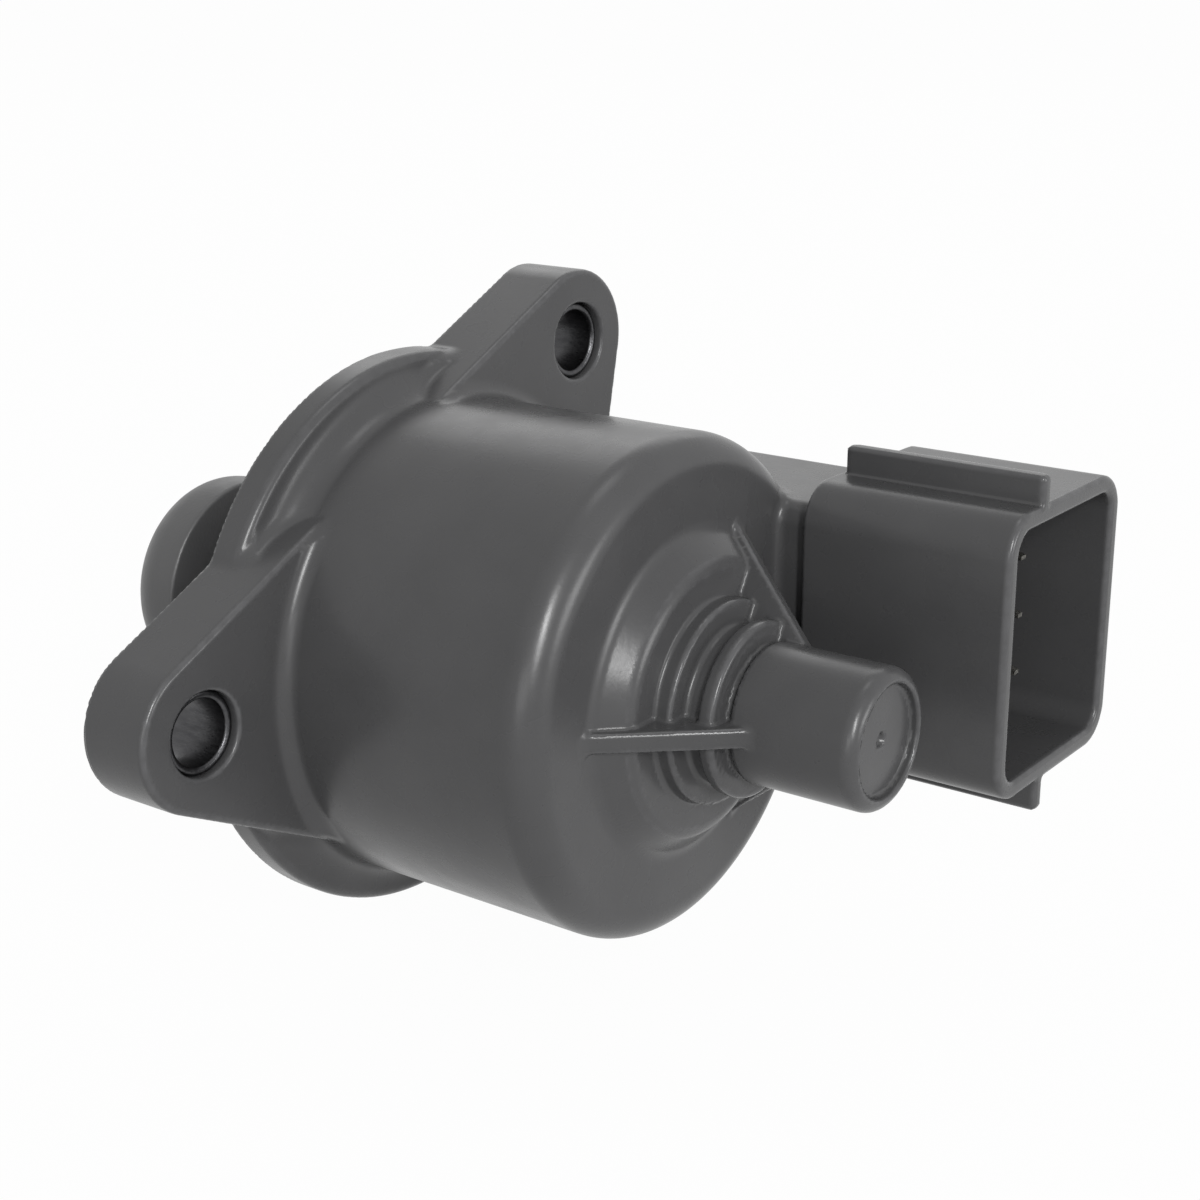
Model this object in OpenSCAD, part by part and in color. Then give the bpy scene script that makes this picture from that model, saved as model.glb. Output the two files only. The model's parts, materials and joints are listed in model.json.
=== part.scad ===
// Idle air control valve: a stepper motor in a moulded housing drives a plunger along X.
// The origin is the centre of the flange's mating face. +X runs along the valve axis
// towards the rear nub and the connector mouth, and the plunger points towards -X.

/* [Moulded body] */
// Radius of the round body
body_r = 20.5; // [19.5:0.1:24]
// Length from the mating face to the flat rear end
body_len = 30.5; // [30:0.5:40]
// Rounding of the rear rim
rim_round = 2.8; // [0.5:0.1:3.5]
// Radius of the thin round flange
flange_r = 24; // [21.5:0.1:26]
// Thickness of the thin round flange
flange_t = 3; // [2:0.1:4]

/* [Screw ears] */
// Thickness of the three ears
ear_t = 6.5; // [4.5:0.1:9]
// Distance of each screw hole from the valve axis
hole_pitch_r = 28.8; // [27.5:0.1:34]
// Rounded end of each ear
ear_tip_r = 6.3; // [5:0.1:8]
// Angle of the upper and lower ears from the connector side
ear_angle = 52; // [46:1:70]
// Outer radius of the steel bush in each ear
bush_r = 3.35; // [3.1:0.05:4]
// Radius of the screw hole through each bush
screw_hole_r = 2.65; // [2:0.05:2.75]
// Depth of the bush below the ear's front face
bush_recess = 0.6; // [0.2:0.1:2]

/* [Rear boss and nub] */
// Radius of the conical boss where it leaves the end face
boss_base_r = 13.1; // [11.5:0.1:15]
// Radius of the conical boss at its flat top
boss_top_r = 10.9; // [9:0.1:11.4]
// Height of the conical boss
boss_h = 2.3; // [1.5:0.1:3]
// Radius of the low step on the boss
step_r = 8.2; // [7.6:0.1:8.8]
// Height of the low step
step_h = 1.5; // [0.8:0.1:2]
// Radius of the waist behind the collar
waist_r = 6.3; // [5.8:0.1:6.6]
// Radius of the collar round the root of the nub
collar_r = 7; // [6.8:0.1:7.5]
// Radius of the closed nub over the lead screw
nub_r = 5.6; // [5.1:0.1:6.5]
// Height of the nub above the end face
nub_len = 18; // [15.5:0.5:24]
// Thickness of the three gussets that brace the nub
gusset_t = 1.6; // [1:0.1:2.4]

/* [Connector] */
// How far the shroud's near side lies inside the body's radius
con_inside = 8.8; // [6.5:0.1:9.3]
// Width of the shroud, away from the valve axis
con_w = 20.4; // [19:0.1:24]
// Height of the shroud
con_h = 23.6; // [21:0.1:28]
// Height of the shroud's centre above the valve axis
con_z = 3; // [2:0.05:5]
// Distance of the connector mouth beyond the end face
con_mouth = 21.3; // [19:0.1:28]
// Length of the shroud
con_len = 18.4; // [17:0.1:20]
// Wall thickness of the shroud
con_wall = 1.5; // [1.1:0.1:2]
// Thickness of the shroud's rear wall
con_floor = 2.6; // [1.5:0.1:4]
// Height of the upper key rib
key_top_h = 2.4; // [1:0.1:3]
// Height of the lower key rib
key_bottom_h = 2.6; // [1:0.1:4]
// Thickness of both key ribs
key_t = 1.3; // [0.8:0.1:2.5]

/* [Terminals] */
// Side of the square terminal pins
pin_w = 0.8; // [0.6:0.1:1.2]
// Distance between pins along the height of the connector
pin_pitch_z = 5; // [4:0.1:5.5]
// Distance between the two columns of pins
pin_pitch_y = 6; // [5:0.1:7]
// Distance of the pin tips behind the connector mouth
pin_setback = 5; // [3:0.1:8]

/* [Stepper motor] */
// Wall of the round body around the coil cups
body_wall = 3.1; // [1.5:0.1:4]
// End wall of the round body behind the coil cups
end_wall = 3.9; // [3.1:0.1:6]
// Thickness of the cup and plate steel
steel_t = 0.9; // [0.6:0.1:1.2]
// Inner radius of the pole teeth
pole_r = 7.4; // [7.25:0.05:7.8]
// Pole teeth on each cup or plate
pole_count = 6; // [4:1:8]
// Depth of the copper windings below the rims of their bobbins
winding_sink = 0.6; // [0.1:0.1:2]
// Outer radius of the rotor magnet
magnet_r = 7; // [6:0.05:7.1]
// Outer radius of the threaded rotor nut
nut_r = 4; // [3.7:0.05:4.4]
// Radius of the journals at both ends of the nut
journal_r = 3; // [2.8:0.05:3.1]
// Outer radius of the front ball bearing
bearing_r = 5; // [4.8:0.05:5.4]
// Width of the front ball bearing
bearing_w = 3; // [2.4:0.1:3.2]
// Balls in the bearing
ball_count = 8; // [6:1:9]
// Outer radius of the rear bush
rear_bush_r = 4.6; // [4.2:0.05:5]

/* [Plunger and guide] */
// Outside radius of the lead screw
screw_r = 2; // [1.6:0.05:2.2]
// Width across the two flats of the lead screw
flats_w = 3.1; // [2.6:0.05:3.3]
// Radius of the plunger head
head_r = 9.8; // [8:0.1:9.9]
// Length of the plunger head
head_len = 6.5; // [5:0.1:9]
// Rounding of the plunger's nose
head_round = 4; // [1:0.1:4.4]
// Travel of the plunger
stroke = 7; // [4:0.1:7.5]
// Gap left between the plunger and the guide at full retraction
end_gap = 0.3; // [0.2:0.05:1]
// Radius of the guide snout that pilots the valve in its bore
pilot_r = 10; // [9.4:0.05:11]
// Length of the guide snout in front of the mating face
pilot_len = 10.7; // [9.5:0.1:14]
// Radius of the spring pocket in the guide
spring_pocket_r = 5.6; // [5.3:0.1:6.2]
// Mean radius of the plunger spring
spring_r = 4.4; // [3.6:0.1:4.6]
// Wire thickness of the plunger spring
spring_wire = 0.8; // [0.5:0.05:1]
// Turns of the plunger spring
spring_turns = 5; // [3:1:6]
// Section of the sealing ring
o_ring_w = 1.9; // [1.5:0.1:2.2]

/* [Hidden] */
$fn = 64;
seat_gap = 0.02; // gap round parts that are pressed or moulded in
run_gap = 0.05; // radial gap of parts that turn or slide
tiny = 0.01;
reach_past = 1; // how far a cut or a buried foot runs past its face

// Stations along the valve axis, from the front to the rear
guide_plate_t = 3;
guide_lip_len = 1.6;
stack_x = guide_plate_t + guide_lip_len; // front of the coil stack
cup_r = body_r - body_wall;
cup_len = (body_len - end_wall - stack_x) / 2;
mid_x = stack_x + cup_len; // joint between the two coils
floor_x = mid_x + cup_len; // rear of the coil stack
bearing_rear_x = 5.4;
bearing_x = bearing_rear_x - bearing_w;
washer_room = 0.5;
journal_inset = 0.1;
spacer_len = 1;
magnet_rear_room = 2;
rotor_float = 0.3;
rear_bush_len = 3;
nut_step = 0.2;
journal_front_x = bearing_x + journal_inset;
magnet_x = bearing_rear_x + spacer_len;
magnet_rear_x = floor_x - magnet_rear_room;
shoulder_rear_x = floor_x - rotor_float;
journal_rear_x = floor_x + rear_bush_len - rotor_float;
boss_x = body_len + boss_h;
step_x = boss_x + step_h;
waist_len = 1.5;
collar_len = 1.4;
collar_x = step_x + waist_len;
collar_end_x = collar_x + collar_len;
nub_end_x = body_len + nub_len;
mouth_x = body_len + con_mouth;
con_x = mouth_x - con_len;
socket_x = con_x + con_floor;
head_x = -pilot_len - end_gap - stroke; // rear face of the plunger at rest
nose_x = head_x - head_len;
bush_front_x = ear_t - bush_recess;

// Housing details
bore_r = cup_r + seat_gap;
ear_root_in = 0.5;
ear_root_r = body_r - ear_root_in;
ear_edge = 0.3;
fillet_root = 0.4;
hole_chamfer = 0.35;
flange_round = 0.5;
body_fillet = 1.3;
step_round = 0.3;
step_fillet = 0.4;
waist_fillet = 0.5;
collar_round = 0.4;
ear_angles = [180, ear_angle, -ear_angle];
nub_round = 1.2;
nub_groove_depth = 0.35;
nub_groove_r = nub_r - nub_groove_depth;
nub_groove_w = 0.6;
nub_rim = 1.2;
nub_recess_r = nub_r - nub_rim;
nub_recess = 0.8;
nub_wall = 2.5;
dimple_r = 0.5;
dimple_depth = 0.4;
gusset_angles = [180, 60, -60];
gusset_foot = 0.9;
gusset_foot_r = boss_base_r + gusset_foot;
gusset_lap = 2.9;
gusset_top_x = collar_end_x + gusset_lap;
gusset_sink = 0.3;
screw_room = 1.2;
screw_pocket_r = screw_r + screw_room;

// Connector details
con_near = body_r - con_inside; // side of the shroud nearest the valve axis
con_y = con_near + con_w / 2;
con_round_top = 2.6;
con_round_bottom = 3.4;
con_lip = 0.35;
key_top_in = 5.3;
key_bottom_in = 7.3;
key_top_y = con_near + key_top_in;
key_bottom_y = con_near + key_bottom_in;
key_set_back = 0.8;
neck_x = 9.5;
neck_in = 0.9;
neck_cover = 2.6;
neck_low_in = 2.6;
neck_high_in = 1.9;
neck_near = con_near + neck_in;
neck_far = con_y + pin_pitch_y / 2 + neck_cover;
neck_low = con_z - con_h / 2 + neck_low_in;
neck_high = con_z + con_h / 2 - neck_high_in;
neck_round = 1.8;

// Terminal pins: rows along Z, one column for each coil
pin_tip_x = mouth_x - pin_setback;
pin_tip_taper = 0.9;
pin_root_cover = 1.5;
pin_root_r = cup_r - pin_root_cover;
pin_root_in = 2.6;
front_root_x = mid_x - pin_root_in;
rear_root_x = floor_x - pin_root_in;

// Coil stack
bobbin_wall = 0.8;
bobbin_clear = 0.15;
bobbin_in_r = pole_r + steel_t + bobbin_clear;
bobbin_room = 2.4; // between the bobbin flanges and the outside of the cup
bobbin_out_r = cup_r - bobbin_room;
bobbin_flange_t = 0.8;
bobbin_gap = 0.1;
block_root = 0.3;
block_r = cup_r - bobbin_gap;
block_w = 3;
block_cover = 1.6;
block_low = con_z - pin_pitch_z - block_cover;
block_high = con_z + pin_pitch_z + block_cover;
block_gap = 0.2;
tooth_pitch = PI * pole_r / pole_count;
tooth_root = tooth_pitch * 1.12;
tooth_tip = tooth_pitch * 0.6;
tooth_gap = 1.2;
plate_gap = 0.05;

// Guide
boss_wall = 1.5;
guide_lip_w = 2.2;
guide_lip_in_r = cup_r - guide_lip_w;
boss_short = 0.2;
journal_room = 0.4;
pocket_floor_x = -4.5;
flats_end_x = -0.6;
o_ring_gap = 0.02;
groove_room = 0.3;
groove_share = 0.78; // part of the ring's section that lies in its groove
groove_wall = 2.3;
groove_w = o_ring_w + groove_room;
groove_depth = o_ring_w * groove_share;
groove_x = -groove_wall - groove_w;
pilot_chamfer = 0.6;

// Ball bearing
race_t = 0.5;
ball_share = 0.62; // ball radius over the clear gap between the races
ball_r = (bearing_r - journal_r - 2 * race_t) * ball_share;
ball_path_r = (bearing_r + journal_r) / 2;
ball_gap = 0.03;
cage_t = 0.35;
cage_inset = 0.3;
washer_t = 0.2;
washer_in = 0.6;
washer_out = 0.1;

// Plunger
seat_washer_t = 0.4;
seat_washer_room = 0.3;
screw_end_room = 4.5;
screw_tail_x = nub_end_x - nub_wall - stroke - screw_end_room;
screw_chamfer = 0.4;
screw_grip = 4;
head_edge = 0.4;
flats_front_x = head_x - screw_grip;
flats_rear_x = 0.2;
flat_cut = 2;
spring_front_x = head_x + seat_gap + seat_washer_t;

// Turns a profile drawn as (radius, x) about the valve axis
module turned() {
  rotate([0, 90, 0]) rotate_extrude() children();
}

// Extrudes a profile drawn in (y, z) from x0 along +X
module plate(x0, t) {
  translate([x0, 0, 0]) rotate([90, 0, 90]) linear_extrude(t) children();
}

// Rectangle of a turned profile between two radii and two stations
module band(r0, r1, x0, x1) {
  translate([r0, x0]) square([r1 - r0, x1 - x0]);
}

// Turned profile with its outer rear corner rounded
module rounded_band(r0, r1, x0, x1, round) {
  band(r0, r1 - round, x0, x1);
  band(r0, r1, x0, x1 - round);
  intersection() {
    translate([r1 - round, x1 - round]) circle(round);
    band(r0, r1, x0, x1);
  }
}

// Concave fillet profile that rises from a face at x0 along a wall of radius r0
module inner_fillet(r0, x0, round) {
  difference() {
    band(r0 - tiny, r0 + round, x0 - tiny, x0 + round);
    translate([r0 + round, x0 + round]) circle(round);
  }
}

// Rectangle in (y, z) with its own rounding at the upper and lower corners
module soft_rect(y0, y1, z0, z1, r_low, r_high) {
  translate([y0 + r_low, z0]) square([y1 - y0 - 2 * r_low, r_low * 2]);
  translate([y0, z0 + r_low]) square([y1 - y0, z1 - z0 - r_low - r_high]);
  translate([y0 + r_high, z1 - 2 * r_high]) square([y1 - y0 - 2 * r_high, r_high * 2]);
  for (y = [y0 + r_low, y1 - r_low]) translate([y, z0 + r_low]) circle(r_low);
  for (y = [y0 + r_high, y1 - r_high]) translate([y, z1 - r_high]) circle(r_high);
}

// Outline of one ear: its round tip joined to the body by the two common tangents
module ear_outline(angle, shrink) {
  tip = ear_tip_r - shrink;
  root = ear_root_r - shrink;
  spread = acos((root - tip) / hole_pitch_r);
  rotate(angle) {
    translate([hole_pitch_r, 0]) circle(tip);
    polygon([
      [0, 0],
      [root * cos(spread), root * sin(spread)],
      [hole_pitch_r + tip * cos(spread), tip * sin(spread)],
      [hole_pitch_r + tip * cos(spread), -tip * sin(spread)],
      [root * cos(spread), -root * sin(spread)]
    ]);
  }
}

module ears() {
  for (angle = ear_angles) {
    plate(0, ear_t) ear_outline(angle, 0);
    intersection() {
      plate(ear_t - fillet_root, body_fillet + fillet_root) ear_outline(angle, ear_edge);
      turned() {
        band(0, body_r, ear_t - fillet_root, ear_t + body_fillet);
        inner_fillet(body_r, ear_t, body_fillet);
      }
    }
  }
}

module body_outside() {
  turned() rounded_band(0, body_r, 0, body_len, rim_round);
  turned() rounded_band(0, flange_r, 0, flange_t, flange_round);
  turned() inner_fillet(body_r, flange_t, body_fillet);
}

// Conical boss, low step, waist, collar and nub on the end face
module nub_outside() {
  turned() {
    polygon([
      [0, body_len - reach_past], [boss_base_r, body_len - reach_past], [boss_base_r, body_len],
      [boss_top_r, boss_x], [0, boss_x]
    ]);
    rounded_band(0, step_r, boss_x - reach_past, step_x, step_round);
    inner_fillet(step_r, boss_x, step_fillet);
    band(0, waist_r, step_x - reach_past, collar_x + tiny);
    inner_fillet(waist_r, step_x, waist_fillet);
    rounded_band(0, collar_r, collar_x, collar_end_x, collar_round);
    band(0, nub_groove_r, collar_end_x - tiny, collar_end_x + nub_groove_w);
    rounded_band(0, nub_r, collar_end_x + nub_groove_w - tiny, nub_end_x, nub_round);
  }
}

module gussets() {
  for (angle = gusset_angles) {
    rotate([angle, 0, 0]) translate([0, 0, -gusset_t / 2]) linear_extrude(gusset_t)
      polygon([
        [body_len - reach_past, 0], [body_len - reach_past, gusset_foot_r], [body_len, gusset_foot_r],
        [gusset_top_x, nub_r - gusset_sink], [gusset_top_x, 0]
      ]);
  }
}

// Rectangular neck that carries the terminals from the coils to the connector
module neck() {
  plate(neck_x, con_x + reach_past - neck_x)
    soft_rect(neck_near, neck_far, neck_low, neck_high, neck_round, neck_round);
}

module shroud_section(inset) {
  soft_rect(
    con_near + inset, con_near + con_w - inset,
    con_z - con_h / 2 + inset, con_z + con_h / 2 - inset,
    con_round_bottom - inset, con_round_top - inset
  );
}

module connector_outside() {
  plate(con_x, con_lip) shroud_section(con_lip / 2);
  plate(con_x + con_lip, con_len - 2 * con_lip) shroud_section(0);
  plate(mouth_x - con_lip, con_lip) shroud_section(con_lip / 2);
  top_z = con_z + con_h / 2;
  low_z = con_z - con_h / 2;
  translate([con_x + key_set_back, key_top_y, top_z - con_wall / 2])
    cube([con_len - key_set_back, key_t, key_top_h + con_wall / 2]);
  translate([con_x + key_set_back, key_bottom_y, low_z - key_bottom_h])
    cube([con_len - key_set_back, key_t, key_bottom_h + con_wall / 2]);
}

function pin_y(i) = con_y + (i < 3 ? -1 : 1) * pin_pitch_y / 2;
function pin_z(i) = con_z + (i % 3 - 1) * pin_pitch_z;
function pin_root_x(i) = i < 3 ? rear_root_x : front_root_x;
function pin_root_y(i) = sqrt(pow(pin_root_r, 2) - pow(pin_z(i), 2));

// Bent square pin from its coil out to the connector
module pin_shape(i, grow) {
  side = pin_w + 2 * grow;
  translate([pin_root_x(i) - side / 2, pin_root_y(i) - grow, pin_z(i) - side / 2])
    cube([side, pin_y(i) + side / 2 - pin_root_y(i) + grow, side]);
  translate([pin_root_x(i) - side / 2, pin_y(i) - side / 2, pin_z(i) - side / 2])
    cube([socket_x - pin_root_x(i) + side / 2 + grow, side, side]);
}

module pin_blade(i) {
  translate([socket_x - 1, pin_y(i), pin_z(i)]) rotate([90, 0, 0])
    translate([0, 0, -pin_w / 2]) linear_extrude(pin_w)
      polygon([
        [0, -pin_w / 2], [pin_tip_x - pin_tip_taper - socket_x + 1, -pin_w / 2],
        [pin_tip_x - socket_x + 1, -pin_w / 5], [pin_tip_x - socket_x + 1, pin_w / 5],
        [pin_tip_x - pin_tip_taper - socket_x + 1, pin_w / 2], [0, pin_w / 2]
      ]);
}

module ear_hole(angle) {
  rotate([angle, 0, 0]) translate([0, hole_pitch_r, 0]) rotate([0, 90, 0]) {
    translate([0, 0, -reach_past]) cylinder(h = ear_t + 2 * reach_past, r = bush_r + seat_gap);
    translate([0, 0, ear_t - hole_chamfer])
      cylinder(h = hole_chamfer + tiny, r1 = bush_r + seat_gap, r2 = bush_r + hole_chamfer);
  }
}

module housing() {
  color([0.17, 0.17, 0.18]) difference() {
    union() {
      body_outside();
      ears();
      nub_outside();
      gussets();
      neck();
      connector_outside();
    }
    // Motor chamber, rear bush seat and the room for the lead screw in the nub
    turned() {
      band(0, bore_r, -reach_past, floor_x);
      band(0, rear_bush_r + seat_gap, floor_x - tiny, floor_x + rear_bush_len);
      band(0, screw_pocket_r, floor_x, nub_end_x - nub_wall);
      band(0, nub_recess_r, nub_end_x - nub_recess, nub_end_x + reach_past);
      band(0, dimple_r, nub_end_x - nub_recess - dimple_depth, nub_end_x);
    }
    plate(socket_x, con_len) shroud_section(con_wall);
    for (i = [0:5]) pin_shape(i, seat_gap);
    for (angle = ear_angles) ear_hole(angle);
  }
}

// Steel bush that takes the screw load through an ear
module ear_bush(angle) {
  color([0.62, 0.63, 0.65]) rotate([angle, 0, 0]) translate([0, hole_pitch_r, 0])
    rotate([0, 90, 0]) difference() {
      cylinder(h = bush_front_x, r = bush_r);
      translate([0, 0, -reach_past]) cylinder(h = bush_front_x + 2 * reach_past, r = screw_hole_r);
    }
}

// Round hole with two flats, in (y, z)
module double_d(r, across) {
  intersection() {
    circle(r);
    translate([-r, -across / 2]) square([2 * r, across]);
  }
}

// Guide: clamps the coil stack, carries the bearing and keys the screw against turning
module front_guide() {
  color([0.2, 0.2, 0.21]) difference() {
    turned() difference() {
      union() {
        band(0, cup_r, 0, guide_plate_t);
        band(guide_lip_in_r, cup_r, 0, stack_x);
        band(0, bearing_r + boss_wall, 0, bearing_rear_x - boss_short);
        band(0, pilot_r, -pilot_len + pilot_chamfer, 0);
        polygon([
          [0, -pilot_len], [pilot_r - pilot_chamfer, -pilot_len],
          [pilot_r, -pilot_len + pilot_chamfer], [0, -pilot_len + pilot_chamfer]
        ]);
      }
      band(0, spring_pocket_r, -pilot_len - reach_past, pocket_floor_x);
      band(0, journal_r + journal_room, flats_end_x, bearing_x);
      band(0, bearing_r + seat_gap, bearing_x - washer_room, stack_x + reach_past);
      band(pilot_r - groove_depth, pilot_r + reach_past, groove_x, groove_x + groove_w);
    }
    plate(pocket_floor_x - reach_past, flats_end_x - pocket_floor_x + 2 * reach_past)
      double_d(screw_r + run_gap, flats_w + 2 * run_gap);
  }
}

module pilot_o_ring() {
  color([0.08, 0.08, 0.08]) turned()
    translate([pilot_r - groove_depth + o_ring_w / 2 + o_ring_gap, groove_x + groove_w / 2])
      circle(o_ring_w / 2);
}

// Tapered pole teeth from the outer face at x0 into the coil, towards +X or -X
module pole_teeth(x0, direction, turn) {
  reach = (cup_len - steel_t - tooth_gap) * direction;
  intersection() {
    turned() band(pole_r, pole_r + steel_t, min(x0, x0 + reach), max(x0, x0 + reach));
    for (k = [0:pole_count - 1]) rotate([turn + k * 360 / pole_count, 0, 0])
      linear_extrude(pole_r * 2) polygon([
        [x0, -tooth_root / 2], [x0 + reach, -tooth_tip / 2],
        [x0 + reach, tooth_tip / 2], [x0, tooth_root / 2]
      ]);
  }
}

// Window that lets the terminal block of a bobbin out through its cup
module terminal_window(x0, x1) {
  translate([x0, 0, block_low - block_gap])
    cube([x1 - x0, cup_r + reach_past, block_high - block_low + 2 * block_gap]);
}

// Coil cup with its closed end at x0; direction points to its open end
module coil_cup(x0, direction, turn) {
  mouth = x0 + cup_len * direction;
  inside = x0 + steel_t * direction;
  color([0.55, 0.56, 0.58]) {
    difference() {
      turned() difference() {
        band(pole_r, cup_r, min(x0, mouth), max(x0, mouth));
        band(
          pole_r - reach_past, cup_r - steel_t,
          min(inside, mouth + direction), max(inside, mouth + direction)
        );
      }
      terminal_window(min(inside, mouth), max(inside, mouth));
    }
    pole_teeth(x0, direction, turn);
  }
}

// Flat pole plate whose outer face is at x0; direction points into its coil
module pole_plate(x0, direction, turn) {
  inner = x0 + steel_t * direction;
  color([0.58, 0.59, 0.61]) {
    turned() band(pole_r, cup_r - steel_t - plate_gap, min(x0, inner), max(x0, inner));
    pole_teeth(x0, direction, turn);
  }
}

// Bobbin between x0 and x1 with its terminal block round x = block_x
module bobbin(x0, x1, block_x) {
  color([0.75, 0.72, 0.62]) difference() {
    union() {
      turned() {
        band(bobbin_in_r, bobbin_in_r + bobbin_wall, x0, x1);
        band(bobbin_in_r, bobbin_out_r, x0, x0 + bobbin_flange_t);
        band(bobbin_in_r, bobbin_out_r, x1 - bobbin_flange_t, x1);
      }
      intersection() {
        turned() band(bobbin_out_r - block_root, block_r, block_x - block_w / 2, block_x + block_w / 2);
        translate([block_x - block_w, 0, block_low])
          cube([2 * block_w, cup_r, block_high - block_low]);
      }
    }
    for (i = [0:5]) if (pin_root_x(i) == block_x) pin_shape(i, seat_gap);
  }
}

module winding(x0, x1) {
  color([0.72, 0.4, 0.2]) turned() band(
    bobbin_in_r + bobbin_wall + seat_gap, bobbin_out_r - winding_sink,
    x0 + bobbin_flange_t + seat_gap, x1 - bobbin_flange_t - seat_gap
  );
}

module terminal_pin(i) {
  color([0.78, 0.66, 0.35]) {
    pin_shape(i, 0);
    pin_blade(i);
  }
}

module bearing_outer_race() {
  color([0.7, 0.71, 0.73]) turned() difference() {
    band(bearing_r - race_t, bearing_r, bearing_x, bearing_rear_x);
    translate([ball_path_r, bearing_x + bearing_w / 2]) circle(ball_r + ball_gap);
  }
}

module bearing_inner_race() {
  color([0.7, 0.71, 0.73]) turned() difference() {
    band(journal_r + seat_gap, journal_r + race_t, bearing_x, bearing_rear_x);
    translate([ball_path_r, bearing_x + bearing_w / 2]) circle(ball_r + ball_gap);
  }
}

module bearing_balls() {
  color([0.8, 0.8, 0.82]) for (k = [0:ball_count - 1]) rotate([k * 360 / ball_count, 0, 0])
    translate([bearing_x + bearing_w / 2, ball_path_r, 0]) sphere(ball_r);
}

// Cage that spaces the balls, with a pocket round each
module bearing_cage() {
  color([0.7, 0.6, 0.35]) difference() {
    turned() band(ball_path_r - cage_t / 2, ball_path_r + cage_t / 2,
                  bearing_x + cage_inset, bearing_rear_x - cage_inset);
    for (k = [0:ball_count - 1]) rotate([k * 360 / ball_count, 0, 0])
      translate([bearing_x + bearing_w / 2, ball_path_r - cage_t, 0]) rotate([-90, 0, 0])
        cylinder(h = 2 * cage_t, r = ball_r + ball_gap);
  }
}

// Cupped spring washer that loads the bearing
module preload_washer() {
  rise = washer_room - washer_t - 2 * tiny;
  inner = journal_r + washer_in;
  outer = bearing_r - washer_out;
  base = bearing_x - washer_room + tiny;
  color([0.6, 0.6, 0.62]) turned() polygon([
    [inner, base], [outer, base + rise], [outer, base + rise + washer_t], [inner, base + washer_t]
  ]);
}

module rear_bush() {
  color([0.7, 0.55, 0.3]) turned()
    band(journal_r + run_gap, rear_bush_r, floor_x, floor_x + rear_bush_len);
}

module rotor_magnet() {
  color([0.25, 0.25, 0.27]) turned() band(nut_r + seat_gap, magnet_r, magnet_x, magnet_rear_x);
}

// Threaded nut that carries the magnet and runs in the bearing and the rear bush
module rotor_nut() {
  color([0.8, 0.78, 0.7]) turned() difference() {
    union() {
      band(0, journal_r, journal_front_x, journal_rear_x);
      band(0, journal_r + race_t, bearing_rear_x, magnet_x);
      band(0, nut_r, magnet_x - tiny, magnet_rear_x);
      band(0, nut_r - nut_step, magnet_x, shoulder_rear_x);
    }
    band(0, screw_r + run_gap, 0, journal_rear_x + reach_past);
  }
}

module lead_screw() {
  color([0.68, 0.69, 0.7]) difference() {
    turned() {
      band(0, screw_r, flats_front_x, screw_tail_x - screw_chamfer);
      polygon([
        [0, screw_tail_x - screw_chamfer], [screw_r, screw_tail_x - screw_chamfer],
        [screw_r - screw_chamfer, screw_tail_x], [0, screw_tail_x]
      ]);
    }
    for (low = [flats_w / 2, -flats_w / 2 - flat_cut])
      translate([flats_front_x - reach_past, -screw_r - reach_past, low])
        cube([flats_rear_x - flats_front_x + reach_past, 2 * (screw_r + reach_past), flat_cut]);
  }
}

// Plunger head moulded on the flats of the lead screw
module plunger_head() {
  color([0.19, 0.19, 0.2]) difference() {
    mirror([1, 0, 0]) turned() difference() {
      rounded_band(0, head_r, -head_x, -nose_x, head_round);
      difference() {
        band(head_r - head_edge, head_r + reach_past, -head_x - reach_past, -head_x + head_edge);
        translate([head_r - head_edge, -head_x + head_edge]) circle(head_edge);
      }
    }
    plate(flats_front_x - seat_gap, screw_grip + reach_past)
      double_d(screw_r + seat_gap, flats_w + 2 * seat_gap);
  }
}

// Washer between the spring and the plunger head
module spring_seat() {
  color([0.66, 0.67, 0.69]) turned()
    band(screw_r + seat_washer_room, spring_r + spring_wire, head_x + seat_gap, spring_front_x);
}

// Point k of the ring of wire corners at turn t of the spring
function wire_point(t, k, x0, pitch, sides) = [
  x0 + t * pitch + spring_wire / 2 * sin(k * 360 / sides),
  (spring_r + spring_wire / 2 * cos(k * 360 / sides)) * cos(t * 360),
  (spring_r + spring_wire / 2 * cos(k * 360 / sides)) * sin(t * 360)
];

// Compression spring between the seat washer and the floor of the guide's pocket
module plunger_spring() {
  sides = 8;
  steps = 18;
  rings = spring_turns * steps;
  x0 = spring_front_x + spring_wire / 2 + seat_gap;
  x1 = pocket_floor_x - spring_wire / 2 - seat_gap;
  pitch = (x1 - x0) / spring_turns;
  points = [for (i = [0:rings]) for (k = [0:sides - 1]) wire_point(i / steps, k, x0, pitch, sides)];
  walls = [for (i = [0:rings - 1]) for (k = [0:sides - 1])
    [i * sides + k, i * sides + (k + 1) % sides, (i + 1) * sides + (k + 1) % sides, (i + 1) * sides + k]];
  caps = [[for (k = [0:sides - 1]) sides - 1 - k], [for (k = [0:sides - 1]) rings * sides + k]];
  color([0.7, 0.71, 0.72]) polyhedron(points, concat(walls, caps));
}

front_coil_x0 = stack_x + steel_t + bobbin_gap;
front_coil_x1 = mid_x - steel_t - bobbin_gap;
rear_coil_x0 = mid_x + steel_t + bobbin_gap;
rear_coil_x1 = floor_x - steel_t - bobbin_gap;
half_pole = 180 / pole_count;

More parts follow.
